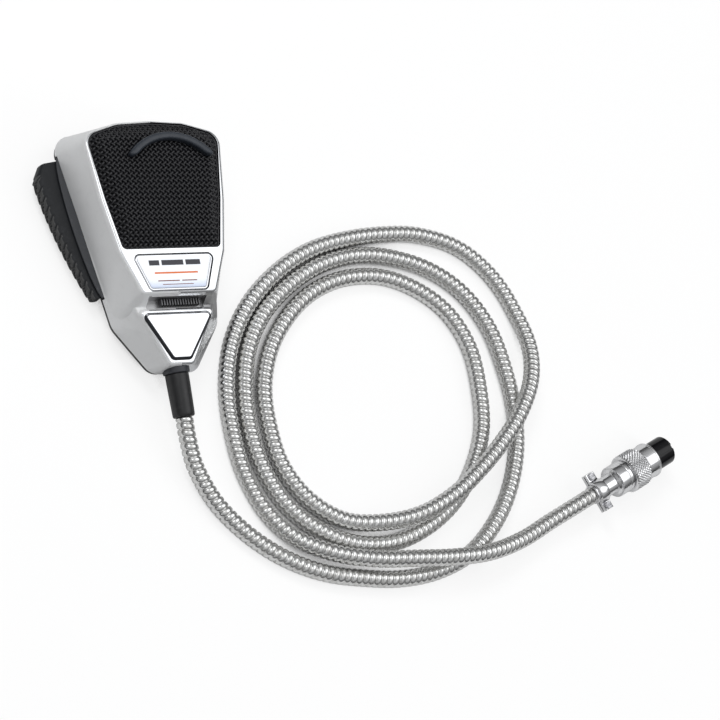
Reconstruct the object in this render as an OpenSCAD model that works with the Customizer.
// Hand microphone: a cast chrome front shell on a moulded rear housing, a press-to-talk
// bar on its left side, an armoured lead and a screw-on plug. Millimetres. The microphone
// lies on its back with its long axis along Y, the grille's top towards +Y.

/* [Body] */
// Widest width of the body, across the head at the joint between the two shells
body_w = 78; // [74:0.5:80]
// Height of the joint between the rear housing and the front shell
rim_z = 10; // [10:0.5:11]
// Height of the front rim around the grille and nameplate
front_z = 30; // [29:0.5:31]
// Height of the rear housing's flat back over the surface that it lies on
back_z = 5; // [5:0.25:5.5]
// Wall thickness of both shells
wall = 2.2; // [2:0.1:2.4]
// Slope of the triangular tail panel
tail_slope = 9.7; // [8:0.1:11]

/* [Grille and nameplate] */
// Height of the grille's flat middle
crown_z = 33.5; // [32.5:0.5:34]
// Thickness of the pressed grille
grille_t = 1.2; // [1:0.1:1.5]
// Height of the lip guard's top
guard_z = 37; // [36:0.5:38]

/* [Press-to-talk bar] */
// Reach of the bar from the housing's side line at its lower end
ptt_low = 3.5; // [3:0.5:4]
// Reach of the bar from the housing's side line at its upper end
ptt_high = 12.3; // [10:0.1:12.5]
// How far the outer face bows out between its ends
ptt_bow = 2.2; // [1:0.1:2.5]
// Number of grip ridges on the bar
ptt_ridges = 13; // [9:1:15]
// Radius of the bar's pivot pin
pin_r = 1.2; // [1:0.1:1.3]

/* [Lead and plug] */
// Outer diameter of the armoured lead
cord_d = 8; // [7:0.5:8]
// Diameter of the knurled coupling nut
nut_d = 19; // [18:0.5:19]
// Diameter of the black barrel that enters the socket
barrel_d = 14; // [13.5:0.1:14]
// Radius of the thread in the coupling nut, a 16 mm thread at its root
thread_r = 7.75; // [7.7:0.05:7.8]

/* [Hidden] */
$fn = 48;
fit = 0.05;           // radial clearance of parts that are pushed together
slack = 0.15;         // clearance of plates in their pockets

// The body's own axis stands off the origin, so that the origin is at the middle of the
// box around the body and the press-to-talk bar.
mic_x = 5.3;
mic_y = -54.75;

// Outlines are rows of [half the distance between a pair of discs, y, radius].
rear_rows = [[body_w / 2 - 8.8, 102.8, 8.8], [0, 92, 20], [16, 25.5, 10.5], [7.2, 7.2, 7.4]];
rear_head_rows = [rear_rows[0], rear_rows[1], rear_rows[2]];
head_bay_rows = [rear_rows[0], rear_rows[1], [20.6, 34, 6]];
head_rows = [[26.3, 100.2, 7.3], [14, 96.8, 14], [0, 91.6, 20], [16.8, 76, 14], [22.6, 51, 3.7],
    [16, 33.8, 3.5]];
tail_rows = [[15.7, 23.3, 2.3], [4.3, 3.2, 3.2]];
panel_rows = [[12.5, 22, 1.6], [2.9, 4, 1.6]];
grille_rows = [[25.6, 100, 6.1], [14, 95.5, 14], [0, 90.3, 20], [21.9, 53.8, 2.4]];
crown_rows = [[21, 97.5, 5], [0, 86.2, 18], [17.3, 63, 3]];
plate_rows = [[16.5, 46.3, 2.5], [12.3, 34.4, 2.4]];
heel_rows = [[9, 16, 4], [5, 7, 4]];
heel_root_rows = [[13.5, 20, 5], [6, 8, 5.5]];
tail_top = [0, 25.6, 24.5];        // where the tail panel's plane starts
screw_spots = [[29.5, 103], [13, 31]];
button_y = 70;
cartridge_y = 80;
post_ring = 15.8;
board_spots = [[1, 50], [17, 50]];

// The side line is the tangent of the rear outline's two side discs.
side_top = rear_rows[0];
side_low = rear_rows[2];
side_run = norm([side_top[0] - side_low[0], side_top[1] - side_low[1]]);
side_a = atan((side_top[0] - side_low[0]) / (side_top[1] - side_low[1]))
    + asin((side_top[2] - side_low[2]) / side_run);

// The bar, in its own frame: y runs up the side line and -x points outwards.
bar_lo = 9;
bar_hi = 69;
bar_z = [4.2, 9.6];
bar_in = -0.3;
pivot = [2.6, 13];
plunger_y = 44;
plunger_r = 1;
plunger_z = 8.5;
spring_y = 58;
bay_x = 5.2;                       // depth of the bay that the bar sinks into
bay_y = [19, 75.5];
strip_z = [10, 10.9];             // the trim strip between bar and chrome

// The lead leaves along the line from exit_in to exit_out.
exit_in = [mic_x, mic_y, 13];
exit_out = [6.5, -75.25, 10.5];
exit_len = norm(exit_out - exit_in);
collar_r = 6;

// The lead's route on the surface, from the sleeve to the plug.
route = [exit_out, [7.1, -85, 9.2], [10, -98, 6.5], [18, -114, 4.5], [31, -129, 4],
    [47, -141, 4], [65, -149, 4], [84, -153, 4], [104, -155, 4], [124, -153, 4],
    [143, -146, 4], [159, -133, 4], [171, -117, 4], [179, -98, 4], [182, -78, 4],
    [181, -58, 4], [177, -39, 4], [167, -22, 4], [152, -10, 4], [133, -3, 4],
    [113, -1, 4], [93, -5, 4], [75, -14, 4], [59, -27, 4], [48, -43, 4],
    [42.5, -61, 4], [41, -80, 4], [44, -99, 4], [52, -116, 4], [66, -129, 4],
    [84, -137, 4], [104, -138, 4], [123, -132, 4], [140, -121, 4], [153, -106, 4],
    [162, -88, 4], [165, -68, 4], [164, -48, 4], [156, -31, 4], [142, -19, 4],
    [124, -12, 4], [104, -12, 4], [86, -18, 4], [71, -29, 4], [59, -44, 4],
    [52, -62, 4], [51, -81, 4], [54, -99, 4], [64, -115, 4], [80, -126, 4.5],
    [99, -129, 7], [118, -127, 9.5], [135, -120, 12.2], [150, -110, 13], [165, -98, 13],
    [178, -85, 13], [190, -68, 11], [196, -50, 6.5], [193, -31, 4], [184, -13, 4],
    [169, 1, 4], [149, 8, 4], [129, 9, 4], [108, 7, 4], [88, 2, 4], [69, -8, 4],
    [52, -22.5, 4], [40, -40, 4], [33.5, -60, 4], [32, -80, 4], [34, -100, 4],
    [41, -118, 4], [53, -132, 5], [70, -141, 7.5], [89, -146, 10.5], [109, -148, 12.7],
    [129, -149, 12.7], [149, -148, 11.5], [169, -143, 8.5], [187, -135.5, 7.5],
    [201, -129.7, 9.2], [212, -125.1, 9.6]];
cord_sides = 12;

// The plug lies level; its stations are distances along its axis from the lead's end.
plug_at = route[len(route) - 1];
plug_turn = 22.5;
neck_t = 7;
body_t = 14;
nut_t = 22.2;
knurl_len = 9.9;
skirt_t = nut_t + knurl_len;
skirt_end = 39.3;
insert_t = 30;
tip_t = 50.6;
shell_r = 7.7;
spigot_r = 6.8;
ring_spots = [45, 135, 225, 315];

function inset(rows, d) = [for (c = rows) [c[0], c[1], c[2] - d]];

// Thin discs at height z on a mirrored pair of outline rows.
module discs(rows, z, h = 0.2) {
    for (c = rows, s = [-1, 1]) translate([s * c[0], c[1], z]) cylinder(r = c[2], h = h, $fn = 32);
}

// The solid between one outline low down and another higher up.
module loft(low_rows, low_z, high_rows, high_z, h = 0.2) {
    hull() {
        discs(low_rows, low_z, h);
        discs(high_rows, high_z - h, h);
    }
}

module place() { translate([mic_x, mic_y, 0]) children(); }

module tail_plane() { translate(tail_top) rotate([tail_slope, 0, 0]) translate([0, -tail_top[1], 0]) children(); }

module on_side() {
    translate([-side_low[0] - side_low[2] * cos(side_a), side_low[1] + side_low[2] * sin(side_a), 0])
        rotate([0, 0, side_a]) children();
}

// Frame whose +Z runs out of the body along the lead's exit.
module at_exit() {
    d = exit_out - exit_in;
    translate(exit_in) rotate([0, 90 + asin(-d[2] / exit_len), atan2(d[1], d[0])]) children();
}

// Frame whose +Z runs along the plug towards its tip, and +X points down.
module at_plug() { translate(plug_at) rotate([0, 0, plug_turn]) rotate([0, 90, 0]) children(); }

module slab_x(x, y, z) { translate([x[0], y[0], z[0]]) cube([x[1] - x[0], y[1] - y[0], z[1] - z[0]]); }

module screw_places() { for (p = screw_spots, s = [-1, 1]) translate([s * p[0], p[1], 0]) children(); }

module tube(r_out, r_in, h) {
    difference() {
        cylinder(r = r_out, h = h);
        translate([0, 0, -1]) cylinder(r = r_in, h = h + 2);
    }
}

module front_outer() {
    hull() {
        discs(rear_head_rows, rim_z);
        discs(head_rows, front_z - 2);
        discs(inset(head_rows, 2), front_z - 0.2);
    }
    hull() {
        discs(rear_rows, rim_z);
        tail_plane() discs(tail_rows, -2.2);
        tail_plane() discs(inset(tail_rows, 1.5), -0.2);
    }
}

module front_shell() {
    color("silver") {
        place() difference() {
            union() {
                difference() {
                    front_outer();
                    loft(inset(head_bay_rows, wall), rim_z - 1, inset(head_rows, 3), front_z - 2.8);
                    hull() {
                        discs(inset(rear_rows, wall), rim_z - 1);
                        tail_plane() discs(inset(tail_rows, 2.2), -3);
                    }
                }
                screw_places() translate([0, 0, rim_z]) cylinder(r = 3, h = 13);
            }
            screw_places() translate([0, 0, rim_z - 1]) cylinder(r = 1.55, h = 11);
            hull() discs(inset(grille_rows, -slack), front_z - 4, 8);
            hull() discs(inset(plate_rows, -slack), front_z - 1.2, 3);
            tail_plane() hull() discs(panel_rows, -0.6, 3);
            slab_x([-14, 14], [26, 30], [21, 40]);
            on_side() slab_x([-20, 3.2], [bar_lo - 1.5, bay_y[1] + 1.5], [rim_z - 2, strip_z[1] + 0.1]);
            translate([-mic_x, -mic_y, 0]) at_exit() translate([0, 0, -14]) cylinder(r = collar_r + fit, h = 24);
        }
    }
}

module rear_outer() {
    hull() {
        discs(inset(rear_rows, 0.3), rim_z - 0.25);
        discs(inset(rear_rows, 1.4), back_z + 1.4);
        discs(inset(rear_rows, 3.2), back_z);
    }
}

module rear_cover() {
    color("#202124") place() difference() {
        union() {
            difference() {
                rear_outer();
                difference() {
                    loft(inset(rear_rows, wall + 1.2), back_z + wall, inset(rear_rows, wall + 0.3), rim_z + 1);
                    on_side() slab_x([-9, bay_x + 2], [bay_y[0] - 2, bay_y[1] + 2], [0, 9.8]);
                }
            }
            hull() {
                discs(heel_rows, 0, 0.5);
                discs(heel_root_rows, back_z + 0.5, 0.2);
            }
            screw_places() translate([0, 0, back_z]) cylinder(r = 3.4, h = rim_z - 0.1 - back_z);
            for (a = [30, 150, 270]) translate([post_ring * cos(a), cartridge_y + post_ring * sin(a), back_z + 1])
                cylinder(r = 1.8, h = 8.9);
            for (p = board_spots) translate([p[0], p[1], back_z + 1]) cylinder(r = 2.2, h = 5.9);
            translate([0, button_y, back_z]) cylinder(r = 4.5, h = 3);
            on_side() translate([pivot[0], pivot[1], back_z]) cylinder(r = 3, h = wall);
        }
        screw_places() translate([0, 0, back_z - 1]) cylinder(r = 1.7, h = 9);
        screw_places() translate([0, 0, back_z - 1]) cylinder(r = 3, h = 3);
        for (p = board_spots) translate([p[0], p[1], back_z + 2.5]) cylinder(r = 0.85, h = 9);
        translate([0, button_y, 0]) cylinder(r = 1.65, h = 12);
        on_side() {
            slab_x([-20, bay_x], bay_y, [-1, rim_z + 1]);
            slab_x([-6, bay_x + 1], [bar_lo, 17.2], [back_z + wall - 0.2, rim_z + 1]);
            slab_x([-20, bar_in - 0.1], [bar_lo - 1, bay_y[0] + 1], [-1, rim_z + 1]);
            translate([pivot[0], pivot[1], back_z + 0.6]) cylinder(r = pin_r, h = 3);
            translate([bay_x - 1, plunger_y, plunger_z]) rotate([0, 90, 0]) cylinder(r = plunger_r + fit, h = 6);
        }
        for (s = [-1, 1]) translate([s * 5.2, 18, back_z + 0.8]) cylinder(r = 1.05, h = 3);
        translate([-mic_x, -mic_y, 0]) at_exit() translate([0, 0, -14]) cylinder(r = collar_r + fit, h = 24);
    }
}

module housing_screws() {
    color("dimgray") place() screw_places() {
        difference() {
            translate([0, 0, back_z + 0.2]) cylinder(r = 2.8, h = 1.6);
            translate([-2, -0.4, back_z]) cube([4, 0.8, 1]);
            translate([-0.4, -2, back_z]) cube([0.8, 4, 1]);
        }
        translate([0, 0, back_z + 1.8]) cylinder(r = 1.5, h = 12);
    }
}

module hanger_button() {
    color("lightgray") place() translate([0, button_y, 0]) difference() {
        union() {
            cylinder(r = 6, h = 2);
            translate([0, 0, 2]) cylinder(r = 3.5, h = back_z - 2);
        }
        translate([0, 0, -1]) cylinder(r = 1.65, h = 9);
        translate([0, 0, -1]) cylinder(r = 3, h = 2.6);
    }
}

module hanger_screw() {
    color("gray") place() translate([0, button_y, 0]) {
        difference() {
            translate([0, 0, 0.2]) cylinder(r = 2.8, h = 1.4);
            translate([-3, -0.4, 0]) cube([6, 0.8, 0.9]);
        }
        translate([0, 0, 1.6]) cylinder(r = 1.5, h = 10);
    }
}

module hanger_nut() {
    color("gray") place() translate([0, button_y, back_z + 3]) difference() {
        cylinder(r = 3.2, h = 2.4, $fn = 6);
        translate([0, 0, -1]) cylinder(r = 1.55, h = 5);
    }
}

module grille() {
    color("#1b1b1d") place() difference() {
        hull() {
            discs(grille_rows, front_z - 3.9);
            discs(grille_rows, front_z - 1.2);
            discs(crown_rows, crown_z - 0.2);
        }
        hull() {
            discs(inset(grille_rows, grille_t), front_z - 5);
            discs(inset(grille_rows, grille_t), front_z - 1.6 - grille_t / 2);
            discs(inset(crown_rows, grille_t / 2), crown_z - grille_t);
        }
    }
}

module grille_cloth() {
    color("#2a2a2e") place() hull() discs(inset(grille_rows, 2), front_z - 5, 0.8);
}

// A crescent between two circles, standing on the grille's flat middle.
module lip_guard() {
    color("#3a3f49") place() difference() {
        intersection() {
            translate([5, 77.2, crown_z]) cylinder(r = 26.5, h = guard_z - crown_z, $fn = 96);
            translate([-17, 92.5, 0]) cube([44, 30, 60]);
        }
        translate([5, 77.2, 0]) cylinder(r = 23, h = 60, $fn = 96);
    }
}

module nameplate() {
    color("whitesmoke") place() hull() discs(plate_rows, front_z - 1.15, 0.9);
}

// Outer face of the bar at station t, 0 at its lower end and 1 at its upper end.
function bar_out(t) = -(ptt_low + (ptt_high - ptt_low) * t + ptt_bow * 4 * t * (1 - t));
function bar_at(t) = [bar_out(t), bar_lo + (bar_hi - bar_lo) * t];

module ptt_bar() {
    color("#17181a") place() on_side() difference() {
        union() {
            translate([0, 0, bar_z[0]]) linear_extrude(bar_z[1] - bar_z[0])
                polygon(concat([[bar_in, bar_hi + 4.6], [bar_in, bay_y[0] + 0.6], [-0.6, bay_y[0] + 0.4],
                    [-0.6, bar_lo + 0.4]], [for (i = [0:12]) bar_at(i / 12)],
                    [[-8.7, bar_hi + 5], [-2, bar_hi + 5]]));
            for (i = [0:ptt_ridges - 1]) {
                t = (i + 0.6) / (ptt_ridges + 0.2);
                step = bar_at(t + 0.02) - bar_at(t);
                translate([bar_at(t)[0], bar_at(t)[1], bar_z[0]]) rotate([0, 0, atan2(-step[0], step[1])])
                    translate([-0.9, -1.6, 0.3]) cube([2.4, 3.2, bar_z[1] - bar_z[0] - 0.6]);
            }
            translate([pivot[0], pivot[1], 7.4]) cylinder(r = 2.3, h = 2.1);
            slab_x([-1, pivot[0]], [pivot[1] - 2.3, pivot[1] + 2.3], [7.4, 9.5]);
        }
        translate([pivot[0], pivot[1], 0]) cylinder(r = pin_r + fit, h = 20);
    }
}

// Trim strip that lies over the bar's inner edge, with a bowed outer edge.
module ptt_bezel() {
    color("#2c2e31") place() on_side() difference() {
        translate([0, 0, strip_z[0]]) linear_extrude(strip_z[1] - strip_z[0])
            polygon(concat([[3.1, bar_lo - 1.4], [6.4, 17.4], [6.4, bay_y[1] - 1], [3.1, bay_y[1] + 1.4]],
                [for (i = [12:-1:0]) [-1.5 - 2.4 * sin(180 * i / 12),
                    bar_lo - 1.4 + (bay_y[1] - bar_lo + 2.8) * i / 12]]));
        translate([pivot[0], pivot[1], 0]) cylinder(r = pin_r, h = 20);
    }
}

module ptt_pivot_pin() {
    color("gray") place() on_side() translate([pivot[0], pivot[1], back_z + 0.7])
        cylinder(r = pin_r, h = strip_z[1] - back_z - 0.7);
}

module ptt_spring() {
    color("gray") place() on_side() translate([bar_in + 0.1, spring_y, 7]) rotate([0, 90, 0])
        tube(2, 1.5, bay_x - bar_in - 0.2);
}

module switch_body() {
    color("#26282c") place() on_side() difference() {
        slab_x([bay_x + 2.4, bay_x + 14], [plunger_y - 8, plunger_y + 8], [back_z + wall + 0.1, 15]);
        translate([bay_x, plunger_y, plunger_z]) rotate([0, 90, 0]) cylinder(r = plunger_r + fit, h = 10);
    }
}

module switch_plunger() {
    color("ivory") place() on_side() translate([bar_in + 0.12, plunger_y, plunger_z]) rotate([0, 90, 0])
        cylinder(r = plunger_r, h = 11.5);
}

module switch_terminals() {
    color("gold") place() on_side() for (i = [-1, 0, 1], j = [0, 1])
        translate([bay_x + 5 + 5 * j, plunger_y + 5 * i - 1, 15]) cube([0.6, 2, 4]);
}

module mic_cartridge() {
    color("silver") place() translate([0, cartridge_y, 0]) {
        translate([0, 0, 14]) cylinder(r = 13.9, h = 8.6);
        translate([0, 0, 22.6]) tube(13.9, 9, 1);
    }
}

module cartridge_gasket() {
    color("#1c1c1c") place() translate([0, cartridge_y, 15]) tube(17.4, 13.9 + fit, 6);
}

module circuit_board() {
    color("darkgreen") place() difference() {
        slab_x([-2.5, 20.5], [42, 58], [back_z + 6.9, back_z + 8.5]);
        for (p = board_spots) translate([p[0], p[1], 0]) cylinder(r = 1.1, h = 30);
    }
}

module board_parts() {
    color("peru") place() {
        for (x = [5, 12]) translate([x, 46, back_z + 8.5]) cylinder(r = 2.4, h = 6);
        for (y = [53, 55.6]) translate([5.5, y, back_z + 9.4]) rotate([0, 90, 0]) cylinder(r = 0.9, h = 6);
    }
}

module board_screws() {
    color("gray") place() for (p = board_spots) translate([p[0], p[1], 0]) {
        translate([0, 0, back_z + 3]) cylinder(r = 0.8, h = 5.5);
        translate([0, 0, back_z + 8.5]) cylinder(r = 1.8, h = 1.2);
    }
}

module inner_cable() {
    color("#333333") at_exit() translate([0, 0, -26]) cylinder(r = 2.2, h = 17.9);
}

module cable_clamp() {
    color("gray") difference() {
        place() slab_x([-7, 7], [15.5, 20.5], [back_z + wall + 0.05, 18.4]);
        at_exit() translate([0, 0, -30]) cylinder(r = 2.2 + fit, h = 26);
        place() for (s = [-1, 1]) translate([s * 5.2, 18, 0]) cylinder(r = 1.1, h = 30);
    }
}

module clamp_screws() {
    color("silver") place() for (s = [-1, 1]) translate([s * 5.2, 18, 0]) {
        translate([0, 0, back_z + 0.9]) cylinder(r = 1, h = 17.5 - back_z);
        translate([0, 0, 18.4]) cylinder(r = 1.7, h = 1);
    }
}

module cord_collar() {
    color("#222428") at_exit() translate([0, 0, -7]) tube(collar_r, 4.85 + fit, 8.3);
}

module strain_relief() {
    color("#151517") at_exit() {
        translate([0, 0, -8]) cylinder(r = 4.85, h = 9.4);
        translate([0, 0, 1.4]) cylinder(r1 = 5.3, r2 = 4.95, h = exit_len - 1.4);
    }
}

// Ring i of the lead: a circle square to the route's direction there.
function route_dir(i) = route[min(i + 1, len(route) - 1)] - route[max(i - 1, 0)];
function unit(v) = v / norm(v);
function ring_side(i) = unit(cross([0, 0, 1], route_dir(i)));
function ring_up(i) = unit(cross(route_dir(i), ring_side(i)));
function ring(i) = [for (k = [0:cord_sides - 1]) route[i]
    + cord_d / 2 * (cos(360 * k / cord_sides) * ring_side(i) + sin(360 * k / cord_sides) * ring_up(i))];

module armoured_cord() {
    n = cord_sides;
    last = len(route) - 1;
    points = [for (i = [0:last]) each ring(i)];
    sides = [for (i = [0:last - 1], k = [0:n - 1])
        [i * n + k, i * n + (k + 1) % n, (i + 1) * n + (k + 1) % n, (i + 1) * n + k]];
    ends = [[for (k = [n - 1:-1:0]) k], [for (k = [0:n - 1]) last * n + k]];
    color("silver") polyhedron(points, concat(sides, ends));
}

module plug_shell() {
    color("silver") at_plug() difference() {
        union() {
            translate([0, 0, 0.1]) cylinder(r = 4.6, h = neck_t);
            translate([0, 0, neck_t]) cylinder(r = 4.9, h = body_t - neck_t);
            translate([0, 0, body_t]) cylinder(r = shell_r, h = nut_t - 0.7 - body_t);
            translate([0, 0, nut_t - 0.7]) cylinder(r = spigot_r, h = insert_t - nut_t + 0.7);
            translate([0.5, -9.6, 1.2]) cube([1.6, 19.2, 5]);
        }
        translate([0, 0, body_t + 2]) cylinder(r = 5.6, h = 20);
        for (s = [-1, 1]) translate([-5, s * 7.8, 3.7]) rotate([0, 90, 0]) cylinder(r = 1.05, h = 10);
    }
}

module plug_saddle() {
    color("silver") at_plug() difference() {
        union() {
            translate([0, 0, 1.2]) tube(6, 4.7, 5);
            translate([-1.7, -9.6, 1.2]) cube([1.6, 19.2, 5]);
        }
        translate([-0.1, -12, 0]) cube([10, 24, 8]);
        translate([0, 0, 0]) cylinder(r = 4.7, h = 8);
        for (s = [-1, 1]) translate([-5, s * 7.8, 3.7]) rotate([0, 90, 0]) cylinder(r = 1.2, h = 10);
    }
}

module saddle_screws() {
    color("gray") at_plug() for (s = [-1, 1]) translate([0, s * 7.8, 3.7]) rotate([0, 90, 0]) {
        translate([0, 0, -1.7]) cylinder(r = 1, h = 4.4);
        difference() {
            translate([0, 0, -3]) cylinder(r = 1.7, h = 1.3);
            translate([-2, -0.3, -3.5]) cube([4, 0.6, 1]);
        }
    }
}

module nut_washer() {
    color("gray") at_plug() translate([0, 0, nut_t + 2.2]) tube(thread_r - 0.1, barrel_d / 2 + fit, 1.2);
}

module coupling_nut() {
    color("silver") at_plug() difference() {
        union() {
            translate([0, 0, nut_t]) cylinder(r1 = nut_d / 2 - 0.8, r2 = nut_d / 2, h = 0.8);
            translate([0, 0, nut_t + 0.8]) cylinder(r = nut_d / 2, h = knurl_len - 1.6);
            translate([0, 0, skirt_t - 0.8]) cylinder(r1 = nut_d / 2, r2 = nut_d / 2 - 0.8, h = 0.8);
            translate([0, 0, skirt_t]) cylinder(r = 8.4, h = skirt_end - skirt_t);
            translate([0, 0, skirt_end - 0.9]) cylinder(r = 8.7, h = 0.9);
        }
        translate([0, 0, nut_t - 1]) cylinder(r = barrel_d / 2 + 0.08, h = 5);
        translate([0, 0, nut_t + 2.1]) cylinder(r = thread_r, h = 30);
    }
}

module plug_insert() {
    color("#101012") at_plug() difference() {
        translate([0, 0, insert_t + 0.05]) cylinder(r = barrel_d / 2, h = tip_t - insert_t - 0.05);
        for (a = ring_spots) rotate([0, 0, a]) translate([3.7, 0, tip_t - 10]) cylinder(r = 1.25, h = 12);
        rotate([0, 0, 180]) translate([barrel_d / 2 - 0.9, -1, tip_t - 9]) cube([3, 2, 12]);
    }
}

module plug_contacts() {
    color("gold") at_plug() for (a = ring_spots) rotate([0, 0, a]) translate([3.7, 0, tip_t - 9.9])
        tube(1.2, 0.8, 9.5);
}

front_shell();
rear_cover();
housing_screws();
hanger_button();
hanger_screw();
hanger_nut();
grille();
grille_cloth();
lip_guard();
nameplate();
ptt_bar();
ptt_bezel();
ptt_pivot_pin();
ptt_spring();
switch_body();
switch_plunger();
switch_terminals();
mic_cartridge();
cartridge_gasket();
circuit_board();
board_parts();
board_screws();
inner_cable();
cable_clamp();
clamp_screws();
cord_collar();
strain_relief();
armoured_cord();
plug_shell();
plug_saddle();
saddle_screws();
nut_washer();
coupling_nut();
plug_insert();
plug_contacts();
